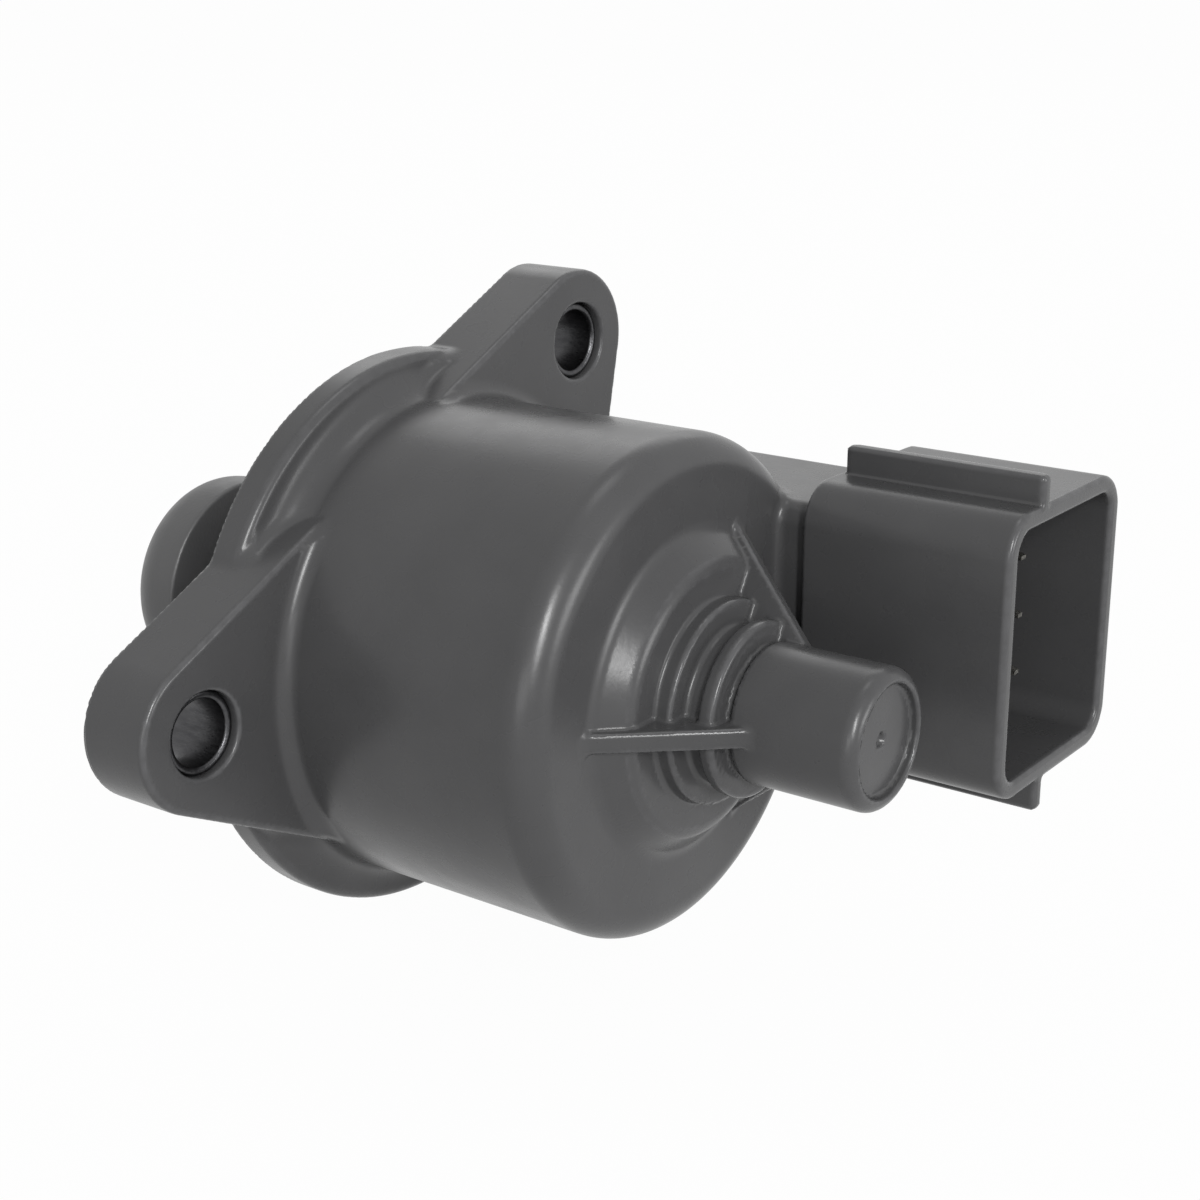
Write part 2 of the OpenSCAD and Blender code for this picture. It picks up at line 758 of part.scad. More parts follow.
housing();
ear_bush(ear_angles[0]);  // near_ear_bush
ear_bush(ear_angles[1]);  // upper_ear_bush
ear_bush(ear_angles[2]);  // lower_ear_bush
front_guide();
pilot_o_ring();
coil_cup(stack_x, 1, 0);  // front_cup
pole_plate(mid_x, -1, half_pole);  // front_pole_plate
pole_plate(mid_x, 1, half_pole / 2);  // rear_pole_plate
coil_cup(floor_x, -1, half_pole * 1.5);  // rear_cup
bobbin(front_coil_x0, front_coil_x1, front_root_x);  // front_bobbin
bobbin(rear_coil_x0, rear_coil_x1, rear_root_x);  // rear_bobbin
winding(front_coil_x0, front_coil_x1);  // front_winding
winding(rear_coil_x0, rear_coil_x1);  // rear_winding
for (i = [0:5]) terminal_pin(i);
bearing_outer_race();
bearing_inner_race();
bearing_balls();
bearing_cage();
preload_washer();
rear_bush();
rotor_magnet();
rotor_nut();
lead_screw();
plunger_head();
spring_seat();
plunger_spring();
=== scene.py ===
"""Idle air control valve: detail, materials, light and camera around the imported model.

The housing is one moulding. Its skin is meshed from a distance field, so that every
edge and inner corner has the radius of the moulded part. Field sizes are in millimetres.
"""
import json
import math

import bmesh
import bpy
import numpy as np
from mathutils import Matrix, Vector


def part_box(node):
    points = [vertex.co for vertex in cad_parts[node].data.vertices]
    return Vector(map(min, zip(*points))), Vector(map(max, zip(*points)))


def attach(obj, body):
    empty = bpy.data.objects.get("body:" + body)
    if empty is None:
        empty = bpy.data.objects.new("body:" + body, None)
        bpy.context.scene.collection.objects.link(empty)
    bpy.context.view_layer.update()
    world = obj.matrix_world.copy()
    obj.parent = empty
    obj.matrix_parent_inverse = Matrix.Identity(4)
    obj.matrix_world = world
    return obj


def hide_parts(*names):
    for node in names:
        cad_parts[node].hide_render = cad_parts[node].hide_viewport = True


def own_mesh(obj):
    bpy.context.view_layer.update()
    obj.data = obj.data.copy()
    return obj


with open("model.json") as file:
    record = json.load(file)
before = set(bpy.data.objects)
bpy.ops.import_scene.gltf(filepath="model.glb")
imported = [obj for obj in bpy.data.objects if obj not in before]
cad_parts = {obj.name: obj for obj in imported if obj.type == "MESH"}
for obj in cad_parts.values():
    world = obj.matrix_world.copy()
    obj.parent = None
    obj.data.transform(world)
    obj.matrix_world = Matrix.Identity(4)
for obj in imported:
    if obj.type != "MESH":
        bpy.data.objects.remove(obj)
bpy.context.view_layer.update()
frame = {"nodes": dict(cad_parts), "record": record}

MM = 0.001

# Housing, in millimetres. The ears' roots and the shroud's upper corners follow the
# photograph a little closer than the CAD source does. The rest is as in the source.
BODY_R, BODY_LEN, RIM_ROUND = 20.5, 30.5, 2.8
FLANGE_R, FLANGE_T = 24.0, 3.0
EAR_T, EAR_PITCH, EAR_TIP_R, EAR_ROOT_R = 6.5, 28.8, 6.29, 19.0
EAR_ANGLES = (180.0, 52.0, -52.0)
EAR_HOLE_R = 3.37
BOSS_BASE_R, BOSS_TOP_R, BOSS_H = 13.1, 10.9, 2.3
STEP_R, STEP_H = 8.2, 1.5
WAIST_R, WAIST_H = 6.3, 1.5
COLLAR_R, COLLAR_H = 7.0, 1.4
NUB_R, NUB_END, NUB_ROUND, NUB_GROOVE = 5.6, 48.5, 1.2, (0.35, 0.6)
RECESS_R, RECESS_DEPTH = 4.4, 0.8
DIMPLE_R = 0.55
GUSSET_T, GUSSET_FOOT_R, GUSSET_TOP = 1.6, 14.0, (5.3, 40.1)
GUSSET_ANGLES = (180.0, 60.0, -60.0)
SHROUD_Y, SHROUD_Z, SHROUD_X = (11.7, 32.1), (-8.8, 14.8), (33.4, 51.8)
SHROUD_WALL, SOCKET_FLOOR = 1.5, 36.0
SHROUD_ROUND_LOW, SHROUD_ROUND_HIGH = 3.4, 3.4
RIB_T, RIB_X = 1.3, 34.2
RIB_TOP_Y, RIB_TOP_H = 17.0, 2.4
RIB_LOW_Y, RIB_LOW_H = 19.0, 2.6
NECK_X, NECK_Y, NECK_Z, NECK_ROUND = (9.5, 34.4), (12.6, 27.5), (-6.2, 12.9), 1.8
CHAMBER_R, CHAMBER_END = 17.42, 26.6
BUSH_SEAT_R, BUSH_SEAT_END = 4.62, 29.6
SCREW_ROOM_R, SCREW_ROOM_END = 3.2, 46.0

# Moulded radii of the housing's edges and inner corners
EDGE = 0.45
FLANGE_EDGE = 0.8
FINE_EDGE = 0.3
FLANGE_FILLET = 2.5
EAR_FILLET = 1.4
CORNER_FILLET = 0.5
NECK_EDGE, NECK_FILLET = 0.8, 0.8
BORE_EDGE = 0.15

# How far a form runs on inside another, so that its end doesn't show
BURIED = 6.0

# Reach over which the bend of the skin is measured, and the bend that counts as a full edge
BEND_REACH, FULL_BEND = 0.1, 2.0

# Reaches over which slopes are measured, and the largest cosine between a fillet's two faces
ROOT_REACH, SLOPE_REACH, MOST_SLANT = 0.01, 0.02, 0.97

# Mesh step of the skins, and where the housing's is split into two pieces
STEP_MM = 0.34
SPLIT_X = 19.0

# Grid steps along a block, blocks in a batch, and how many block sizes from the skin are near it
BLOCK, BATCH, NEAR = 8, 1500, 1.2


def rounded(a, b, radius):
    """Intersection of two distances, with a rounded edge."""
    inner = np.minimum(np.maximum(a, b), -radius)
    return inner + np.hypot(np.maximum(a + radius, 0), np.maximum(b + radius, 0))


def filleted(a, b, radius, slant=0.0):
    """Union of two distances, with a fillet in the inner corner.

    The slant is the cosine between the two normals, 0 where the faces are square.
    """
    slant = np.clip(slant, 0, MOST_SLANT)
    p, q = np.maximum(radius - a, 0), np.maximum(radius - b, 0)
    reach = np.sqrt(np.maximum(p * p + q * q - 2 * slant * p * q, 0) / (1 - slant * slant))
    return np.where((p > slant * q) & (q > slant * p), radius - reach, np.minimum(a, b))


def slab(outline, x, x0, x1, radius):
    """An outline across the valve axis, extruded from x0 to x1 with rounded edges."""
    return rounded(outline, np.abs(x - (x0 + x1) / 2) - (x1 - x0) / 2, radius)


def cut(a, b, radius):
    """a without b, with a rounded rim."""
    return rounded(a, -b, radius)


def turned_to(y, z, degrees):
    """Coordinates along and across a direction in the plane across the valve axis."""
    c, s = math.cos(math.radians(degrees)), math.sin(math.radians(degrees))
    return y * c + z * s, z * c - y * s


def rectangle(y, z, span_y, span_z, low_round, high_round):
    """Distance to a rectangle whose lower and upper corners have their own radii."""
    mid_y, mid_z = sum(span_y) / 2, sum(span_z) / 2
    radius = np.where(z < mid_z, low_round, high_round)
    dy = np.abs(y - mid_y) - (span_y[1] - span_y[0]) / 2 + radius
    dz = np.abs(z - mid_z) - (span_z[1] - span_z[0]) / 2 + radius
    inner = np.minimum(np.maximum(dy, dz), 0)
    return inner + np.hypot(np.maximum(dy, 0), np.maximum(dz, 0)) - radius


def line_side(u, x, start, end):
    """Distance beyond the straight line from start to end, each a (radius, x) point."""
    du, dx = end[0] - start[0], end[1] - start[1]
    length = math.hypot(du, dx)
    return ((u - start[0]) * dx - (x - start[1]) * du) / length


def ear_outline(y, z, angle):
    """One ear and its side's outward lean.

    The ear is a round tip joined to a circle about the valve axis by common tangents.
    """
    u, v = turned_to(y, z, angle)
    v = np.abs(v)
    lean = (EAR_ROOT_R - EAR_TIP_R) / EAR_PITCH
    across = math.sqrt(1 - lean * lean)
    side = u * lean + v * across
    tip = np.hypot(u - EAR_PITCH, v) - EAR_TIP_R
    past = u * across - v * lean > EAR_PITCH * across
    outline = np.maximum(np.where(past, tip, side - EAR_ROOT_R), EAR_ROOT_R / 2 - u)
    return outline, side / np.maximum(np.hypot(u, v), 0.1)


def flange_root(r, x):
    """Round body and flange, with the wide fillet between them."""
    flange = slab(r - FLANGE_R, x, -BURIED, FLANGE_T, FLANGE_EDGE)
    return filleted(r - BODY_R, flange, FLANGE_FILLET)


def flange_and_ears(x, y, z, r):
    """Flange and ears, with the fillets where they meet the body and each other."""
    foot = flange_root(r, x)
    root_r = flange_root(r + ROOT_REACH, x) - flange_root(r - ROOT_REACH, x)
    root_x = flange_root(r, x + ROOT_REACH) - flange_root(r, x - ROOT_REACH)
    root_r, root_x = root_r / (2 * ROOT_REACH), root_x / (2 * ROOT_REACH)
    half = (EAR_T + BURIED) / 2
    beyond = np.abs(x - EAR_T + half) - half
    for angle in EAR_ANGLES:
        outline, lean = ear_outline(y, z, angle)
        side, face = np.maximum(outline + EDGE, 1e-6), np.maximum(beyond + EDGE, 1e-6)
        slant = (side * lean * root_r + face * root_x) / np.hypot(side, face)
        foot = filleted(foot, rounded(outline, beyond, EDGE), EAR_FILLET, slant)
    return np.maximum(foot, x - EAR_T - 2 * EAR_FILLET)


def boss_and_nub(x, y, z, r):
    """Conical boss, low step, waist, collar, groove, nub and gussets on the end face."""
    boss_x = BODY_LEN + BOSS_H
    step_x = boss_x + STEP_H
    waist_x = step_x + WAIST_H
    collar_x = waist_x + COLLAR_H
    cone = line_side(r, x, (BOSS_BASE_R, BODY_LEN), (BOSS_TOP_R, boss_x))
    shape = rounded(cone, x - boss_x, EDGE)
    for radius, x0, x1, edge, corner in (
        (STEP_R, BODY_LEN, step_x, FINE_EDGE, 0.4),
        (WAIST_R, BODY_LEN, collar_x, FINE_EDGE, 0.45),
        (COLLAR_R, waist_x, collar_x, 0.4, 0.2),
        (NUB_R - NUB_GROOVE[0], BODY_LEN, NUB_END - NUB_ROUND, FINE_EDGE, 0.15),
    ):
        shape = filleted(shape, slab(r - radius, x, x0, x1, edge), corner)
    nub = rounded(r - NUB_R, x - NUB_END, NUB_ROUND)
    nub = rounded(nub, collar_x + NUB_GROOVE[1] - x, FINE_EDGE)
    shape = np.minimum(shape, nub)
    shape = np.maximum(shape, BODY_LEN - BURIED / 2 - x)
    for angle in GUSSET_ANGLES:
        u, v = turned_to(y, z, angle)
        edge = line_side(u, x, (GUSSET_FOOT_R, BODY_LEN), GUSSET_TOP)
        gusset = rounded(np.abs(v) - GUSSET_T / 2, edge, FINE_EDGE)
        gusset = np.maximum(gusset, np.maximum(-u, BODY_LEN - BURIED / 2 - x))
        shape = filleted(shape, gusset, FINE_EDGE)
    recess = slab(r - RECESS_R, x, NUB_END - RECESS_DEPTH, NUB_END + BURIED, 0.2)
    shape = cut(shape, recess, FINE_EDGE)
    dimple = np.hypot(r, x - NUB_END + RECESS_DEPTH) - DIMPLE_R
    return cut(shape, dimple, BORE_EDGE)


def connector(x, y, z):
    """Box shroud, open at its mouth, with a key rib above and below, and its neck."""
    outline = rectangle(y, z, SHROUD_Y, SHROUD_Z, SHROUD_ROUND_LOW, SHROUD_ROUND_HIGH)
    shape = slab(outline, x, *SHROUD_X, EDGE)
    ribbed = outline
    for rib_y, z0, z1 in (
        (RIB_TOP_Y, SHROUD_Z[1] - SHROUD_WALL, SHROUD_Z[1] + RIB_TOP_H),
        (RIB_LOW_Y, SHROUD_Z[0] - RIB_LOW_H, SHROUD_Z[0] + SHROUD_WALL),
    ):
        rib = rectangle(y, z, (rib_y, rib_y + RIB_T), (z0, z1), FINE_EDGE, FINE_EDGE)
        ribbed = filleted(ribbed, rib, 0.25)
    shape = np.minimum(shape, slab(ribbed, x, RIB_X, SHROUD_X[1], EDGE))
    neck = rectangle(y, z, NECK_Y, NECK_Z, NECK_ROUND, NECK_ROUND)
    shape = filleted(shape, slab(neck, x, *NECK_X, NECK_EDGE), CORNER_FILLET)
    inside = slab(outline + SHROUD_WALL, x, SOCKET_FLOOR, SHROUD_X[1] + BURIED, FINE_EDGE)
    return cut(shape, inside, 0.4)


def housing_field(points):
    """Distance from each point, in millimetres, to the skin of the housing."""
    x, y, z = points[:, 0], points[:, 1], points[:, 2]
    r = np.hypot(y, z)
    shape = slab(r - BODY_R, x, -BURIED, BODY_LEN, RIM_ROUND)
    shape = np.minimum(shape, flange_and_ears(x, y, z, r))
    shape = filleted(shape, boss_and_nub(x, y, z, r), CORNER_FILLET)
    shape = filleted(shape, connector(x, y, z), NECK_FILLET)
    for angle in EAR_ANGLES:
        u, v = turned_to(y, z, angle)
        shape = cut(shape, np.hypot(u - EAR_PITCH, v) - EAR_HOLE_R, FINE_EDGE)
    shape = rounded(shape, -x, FINE_EDGE)
    for radius, end in (
        (CHAMBER_R, CHAMBER_END), (BUSH_SEAT_R, BUSH_SEAT_END), (SCREW_ROOM_R, SCREW_ROOM_END),
    ):
        shape = cut(shape, np.maximum(r - radius, x - end), BORE_EDGE)
    return shape


def slope(field, points, reach=SLOPE_REACH):
    """Unit normals of a field at the points, and how sharply the skin bends there."""
    normals = np.empty_like(points)
    total = -6 * field(points)
    for axis in range(3):
        shift = np.zeros(3)
        shift[axis] = reach
        after, before = field(points + shift), field(points - shift)
        normals[:, axis] = after - before
        total += after + before
    normals /= np.maximum(np.linalg.norm(normals, axis=1, keepdims=True), 1e-9)
    return normals, total / reach ** 2


def field_values(field, low, counts, step):
    """The field on a grid. Blocks far from the skin keep the value at their centre."""
    blocks = [n // BLOCK for n in counts]
    size = step * BLOCK
    centres = np.stack(np.meshgrid(
        *[low[a] + (np.arange(blocks[a]) + 0.5) * size for a in range(3)], indexing="ij",
    ), -1)
    coarse = field(centres.reshape(-1, 3)).reshape(blocks)
    values = coarse.astype(np.float32)
    for axis in range(3):
        values = np.repeat(values, BLOCK, axis)
    near = np.argwhere(np.abs(coarse) < size * NEAR)
    local = np.stack(np.meshgrid(*[np.arange(BLOCK)] * 3, indexing="ij"), -1).reshape(-1, 3)
    for part in np.array_split(near, max(1, len(near) // BATCH)):
        index = (part[:, None] * BLOCK + local[None]).reshape(-1, 3)
        values[tuple(index.T)] = field(low + index * step)
    return values


def surface_nets(values, low, step):
    """Vertices and quads of the zero surface of gridded values."""
    inside = values < 0
    shape = np.array(values.shape)
    strides = np.array([shape[1] * shape[2], shape[2], 1])
    cells, places, quads = [], [], []
    for axis in range(3):
        first = [slice(None)] * 3
        second = [slice(None)] * 3
        first[axis], second[axis] = slice(None, -1), slice(1, None)
        change = inside[tuple(first)] != inside[tuple(second)]
        at = np.argwhere(change)
        at = at[(at > 0).all(1) & (at < shape - 2).all(1)]
        flat = at @ strides
        a, b = values.ravel()[flat], values.ravel()[flat + strides[axis]]
        place = at.astype(float)
        place[:, axis] += a / (a - b)
        p, q = strides[(axis + 1) % 3], strides[(axis + 2) % 3]
        ring = np.stack([flat, flat - p, flat - p - q, flat - q], 1)
        outward = a < 0
        ring[~outward] = ring[~outward][:, ::-1]
        quads.append(ring)
        for k in range(4):
            cells.append(ring[:, k])
            places.append(place)
    names, slots = np.unique(np.concatenate(cells), return_inverse=True)
    places = np.concatenate(places)
    share = np.bincount(slots)
    vertices = np.stack([np.bincount(slots, places[:, a]) / share for a in range(3)], 1)
    faces = np.searchsorted(names, np.concatenate(quads))
    return low + vertices * step, faces


def settle(field, vertices, faces, rounds=3):
    """Evens the mesh out and puts every vertex on the skin."""
    edges = np.concatenate([faces[:, [k, (k + 1) % 4]] for k in range(4)])
    share = np.bincount(edges[:, 0], minlength=len(vertices))
    for turn in range(rounds):
        if turn:
            total = np.stack([
                np.bincount(edges[:, 0], vertices[edges[:, 1], a], len(vertices))
                for a in range(3)
            ], 1)
            vertices = vertices + 0.5 * (total / share[:, None] - vertices)
        for _ in range(2):
            normals, _ = slope(field, vertices)
            move = np.clip(field(vertices), -STEP_MM, STEP_MM)
            vertices = vertices - normals * move[:, None]
    normals, bend = slope(field, vertices, BEND_REACH)
    return vertices, normals, bend


def mesh_object(name, vertices, faces, normals=None):
    """A smooth object from an array of millimetre vertices and a list of faces."""
    mesh = bpy.data.meshes.new(name)
    mesh.from_pydata((vertices * MM).tolist(), [], faces)
    mesh.shade_smooth()
    if normals is not None:
        mesh.normals_split_custom_set_from_vertices(normals.tolist())
    piece = bpy.data.objects.new(name, mesh)
    bpy.context.scene.collection.objects.link(piece)
    return piece


def turned_piece(name, profile, steps=128):
    """A closed (radius, x) profile in millimetres, turned about the valve axis."""
    angles = np.linspace(0, 2 * math.pi, steps, endpoint=False)
    ring = np.array(profile)
    count = len(ring)
    vertices = np.stack([
        np.tile(ring[:, 1], steps),
        np.outer(np.cos(angles), ring[:, 0]).ravel(),
        np.outer(np.sin(angles), ring[:, 0]).ravel(),
    ], 1)
    here = np.arange(steps)[:, None] * count
    there = (np.arange(steps)[:, None] + 1) % steps * count
    k = np.arange(count)[None, :]
    after = (k + 1) % count
    faces = np.stack([here + k, there + k, there + after, here + after], -1)
    return mesh_object(name, vertices, faces.reshape(-1, 4).tolist())


def moved(piece, offset):
    """Moves a piece's own vertices, in millimetres."""
    piece.data.transform(Matrix.Translation(Vector(offset) * MM))
    return piece


def arc(centre_r, centre_x, radius, start, end, count=6):
    """Profile points on an arc, with angles from the +radius direction towards +x."""
    angles = [math.radians(a) for a in np.linspace(start, end, count)]
    return [
        (centre_r + radius * math.cos(a), centre_x + radius * math.sin(a)) for a in angles
    ]


# Guide, in millimetres
GUIDE_R, GUIDE_PLATE, GUIDE_LIP_R, GUIDE_LIP_END = 17.4, 3.0, 15.2, 4.6
GUIDE_BOSS_R, GUIDE_BOSS_END = 6.5, 5.2
PILOT_R, PILOT_END, PILOT_EDGE = 10.0, -10.7, 0.5
GROOVE_R, GROOVE_X = 8.52, (-4.5, -2.3)
POCKET_R, POCKET_END = 5.6, -4.5
SCREW_R, SCREW_FLATS = 2.05, 3.2
JOURNAL_R, JOURNAL_X = 3.4, -0.6
BEARING_SEAT_R, BEARING_SEAT_X = 5.02, 1.9


def guide_field(points):
    """Distance to the guide: its plate, lip, bearing boss and the snout that pilots the valve."""
    x, y, z = points[:, 0], points[:, 1], points[:, 2]
    r = np.hypot(y, z)
    shape = slab(r - GUIDE_R, x, 0, GUIDE_PLATE, FINE_EDGE)
    lip = rounded(slab(r - GUIDE_R, x, 0, GUIDE_LIP_END, 0.2), GUIDE_LIP_R - r, 0.2)
    shape = np.minimum(shape, lip)
    shape = filleted(shape, slab(r - GUIDE_BOSS_R, x, 0, GUIDE_BOSS_END, 0.2), 0.3)
    shape = filleted(shape, slab(r - PILOT_R, x, PILOT_END, GUIDE_PLATE / 2, PILOT_EDGE), 0.3)
    flats = np.maximum(r - SCREW_R, np.abs(z) - SCREW_FLATS / 2)
    beside_groove = np.abs(x - sum(GROOVE_X) / 2) - (GROOVE_X[1] - GROOVE_X[0]) / 2
    for hole, edge in (
        (np.maximum(GROOVE_R - r, beside_groove), 0.2),
        (np.maximum(r - POCKET_R, x - POCKET_END), 0.35),
        (np.maximum(r - JOURNAL_R, JOURNAL_X - x), 0.1),
        (np.maximum(r - BEARING_SEAT_R, BEARING_SEAT_X - x), 0.2),
        (flats, 0.15),
    ):
        shape = cut(shape, hole, edge)
    return shape


def field_piece(field, node):
    """Faces, vertices, normals and bend of a field's skin inside a node's box."""
    low, high = (np.array(corner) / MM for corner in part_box(node))
    low = low - 3 * STEP_MM
    counts = np.ceil((high - low) / STEP_MM / BLOCK + 1).astype(int) * BLOCK
    vertices, faces = surface_nets(field_values(field, low, counts, STEP_MM), low, STEP_MM)
    return faces, *settle(field, vertices, faces)


def skin_object(name, faces, vertices, normals, bend):
    """An object of the chosen faces, which keeps how sharply its skin bends for the material."""
    used, renumbered = np.unique(faces, return_inverse=True)
    faces = renumbered.reshape(faces.shape).tolist()
    piece = mesh_object(name, vertices[used], faces, normals[used])
    edge = piece.data.attributes.new("edge", "FLOAT", "POINT")
    edge.data.foreach_set("value", np.clip(bend[used] / FULL_BEND, -1, 1))
    return piece


def cleaned(piece, sharp_degrees=38):
    """Joins the points on the axis and marks the piece's sharp edges."""
    shape = bmesh.new()
    shape.from_mesh(piece.data)
    bmesh.ops.remove_doubles(shape, verts=shape.verts, dist=1e-6)
    bmesh.ops.dissolve_degenerate(shape, edges=shape.edges, dist=1e-6)
    bmesh.ops.recalc_face_normals(shape, faces=shape.faces)
    shape.to_mesh(piece.data)
    shape.free()
    piece.data.shade_smooth()
    piece.data.set_sharp_from_angle(angle=math.radians(sharp_degrees))
    return piece


# Plunger, spring, ring and bushes, in millimetres
HEAD_R, HEAD_REAR, NOSE_X, NOSE_ROUND, HEAD_EDGE = 9.8, -18.0, -24.5, 4.0, 0.4
HEAD_GATE_R, HEAD_GATE_DEPTH = 0.9, 0.25
HEAD_BORE_R, HEAD_BORE_END = 2.02, -22.0
WASHER_R, WASHER_X, WASHER_EDGE = (2.3, 5.2), (-17.98, -17.58), 0.12
SPRING_R, SPRING_WIRE_R, SPRING_TURNS = 4.4, 0.4, 5
SPRING_END_PITCH, SPRING_MORE_PITCH, SPRING_END_TURNS, SPRING_OPENING = 0.8, 3.0, 0.6, 0.5
SPRING_X, SPRING_SHORT = (-17.56, -4.52), 0.46
O_RING_CENTRE, O_RING_R, O_RING_FLASH = (9.488, -3.4), 0.95, 0.03
BUSH_R, BUSH_HOLE_R, BUSH_END, BUSH_EDGE = 3.35, 2.65, 5.9, 0.3


def plunger_piece():
    """Plunger head with its rounded nose, the mark of its mould gate and its bore."""
    nose = arc(HEAD_R - NOSE_ROUND, -NOSE_X - NOSE_ROUND, NOSE_ROUND, 0, 90, 20)
    rear = arc(HEAD_R - HEAD_EDGE, -HEAD_REAR + HEAD_EDGE, HEAD_EDGE, -90, 0, 6)
    gate = [
        (HEAD_GATE_R + 0.15, -NOSE_X), (HEAD_GATE_R, -NOSE_X - 0.1),
        (HEAD_GATE_R - 0.1, -NOSE_X - HEAD_GATE_DEPTH), (0, -NOSE_X - HEAD_GATE_DEPTH),
    ]
    bore = [(0, -HEAD_BORE_END), (HEAD_BORE_R, -HEAD_BORE_END), (HEAD_BORE_R, -HEAD_REAR)]
    profile = [(r, -x) for r, x in [*rear, *nose, *gate, *bore]]
    return cleaned(turned_piece("plunger_head_body", profile))


def washer_piece():
    """Washer that the spring sits on, with rounded edges."""
    inner, outer = WASHER_R
    x0, x1 = WASHER_X
    profile = []
    for r, x, start in (
        (outer - WASHER_EDGE, x0 + WASHER_EDGE, -90), (outer - WASHER_EDGE, x1 - WASHER_EDGE, 0),
        (inner + WASHER_EDGE, x1 - WASHER_EDGE, 90), (inner + WASHER_EDGE, x0 + WASHER_EDGE, 180),
    ):
        profile += arc(r, x, WASHER_EDGE, start, start + 90, 4)
    return cleaned(turned_piece("spring_seat_washer", profile, 72))


def o_ring_piece():
    """Moulded ring with the fine flash line of its mould on the outside."""
    profile = []
    for angle in np.arange(0, 360, 10):
        radius = O_RING_R - O_RING_FLASH + (O_RING_FLASH if angle in (0, 180) else 0)
        profile.append((
            O_RING_CENTRE[0] + radius * math.cos(math.radians(angle)),
            O_RING_CENTRE[1] + radius * math.sin(math.radians(angle)),
        ))
    return cleaned(turned_piece("pilot_o_ring_rubber", profile, 160), 60)


def spring_piece():
    """Compression spring with closed, ground ends."""
    steps, sides = 48, 14
    t = np.linspace(0, SPRING_TURNS, SPRING_TURNS * steps + 1)
    opened = (np.minimum(t, SPRING_TURNS - t) - SPRING_END_TURNS) / SPRING_OPENING
    pitch = SPRING_END_PITCH + SPRING_MORE_PITCH * np.clip(opened, 0, 1)
    run = np.concatenate([[0], np.cumsum((pitch[1:] + pitch[:-1]) / 2 * np.diff(t))])
    x0, x1 = SPRING_X[0] + SPRING_WIRE_R / 2, SPRING_X[1] - SPRING_WIRE_R / 2
    path_x = x0 + run / run[-1] * (x1 - x0)
    turn = t[:, None] * 2 * math.pi
    side = np.linspace(0, 2 * math.pi, sides, endpoint=False)[None, :]
    reach = SPRING_R + SPRING_WIRE_R * np.cos(side)
    vertices = np.stack([
        np.clip(path_x[:, None] + SPRING_WIRE_R * np.sin(side), *SPRING_X),
        reach * np.cos(turn), reach * np.sin(turn),
    ], -1).reshape(-1, 3)
    i = np.arange(len(t) - 1)[:, None] * sides
    k = np.arange(sides)[None, :]
    after = (k + 1) % sides
    faces = np.stack([i + k, i + after, i + sides + after, i + sides + k], -1)
    faces = faces.reshape(-1, 4).tolist()
    last = (len(t) - 1) * sides
    faces += [list(range(sides))[::-1], [last + n for n in range(sides)]]
    return cleaned(mesh_object("plunger_spring_coil", vertices, faces), 50)


def bush_piece(name, angle):
    """Compression bush in the ear at that angle, with rounded rims."""
    profile = []
    for r, x, start in (
        (BUSH_R - BUSH_EDGE, BUSH_EDGE, -90),
        (BUSH_R - BUSH_EDGE, BUSH_END - BUSH_EDGE, 0),
        (BUSH_HOLE_R + BUSH_EDGE, BUSH_END - BUSH_EDGE, 90),
        (BUSH_HOLE_R + BUSH_EDGE, BUSH_EDGE, 180),
    ):
        profile += arc(r, x, BUSH_EDGE, start, start + 90, 4)
    piece = cleaned(turned_piece(name, profile, 96))
    at = (0, EAR_PITCH * math.cos(math.radians(angle)), EAR_PITCH * math.sin(math.radians(angle)))
    return moved(piece, at)


# Materials. Each has a colour that varies, a roughness that varies and a fine relief.


def noise(nodes, links, coords, scale, detail=3.0, stretch=None):
    """Value of a noise of that many cells a metre, from 0 to 1."""
    texture = nodes.new("ShaderNodeTexNoise")
    texture.inputs["Scale"].default_value = scale
    texture.inputs["Detail"].default_value = detail
    source = coords.outputs["Object"]
    if stretch:
        mapping = nodes.new("ShaderNodeMapping")
        mapping.inputs["Scale"].default_value = stretch
        links.new(source, mapping.inputs["Vector"])
        source = mapping.outputs["Vector"]
    links.new(source, texture.inputs["Vector"])
    return texture.outputs["Fac"]


def ranged(nodes, links, value, low, high, start=0.3, end=0.7):
    """A value mapped from start..end to low..high."""
    spread = nodes.new("ShaderNodeMapRange")
    for name, amount in (("From Min", start), ("From Max", end), ("To Min", low), ("To Max", high)):
        spread.inputs[name].default_value = amount
    links.new(value, spread.inputs["Value"])
    return spread.outputs["Result"]


def mixed(nodes, links, factor, a, b):
    """Colour a where the factor is 0, b where it is 1. Either may be a socket."""
    mix = nodes.new("ShaderNodeMix")
    mix.data_type = "RGBA"
    links.new(factor, mix.inputs["Factor"])
    for socket, colour in ((mix.inputs[6], a), (mix.inputs[7], b)):
        if isinstance(colour, bpy.types.NodeSocket):
            links.new(colour, socket)
        else:
            socket.default_value = (*colour, 1)
    return mix.outputs[2]


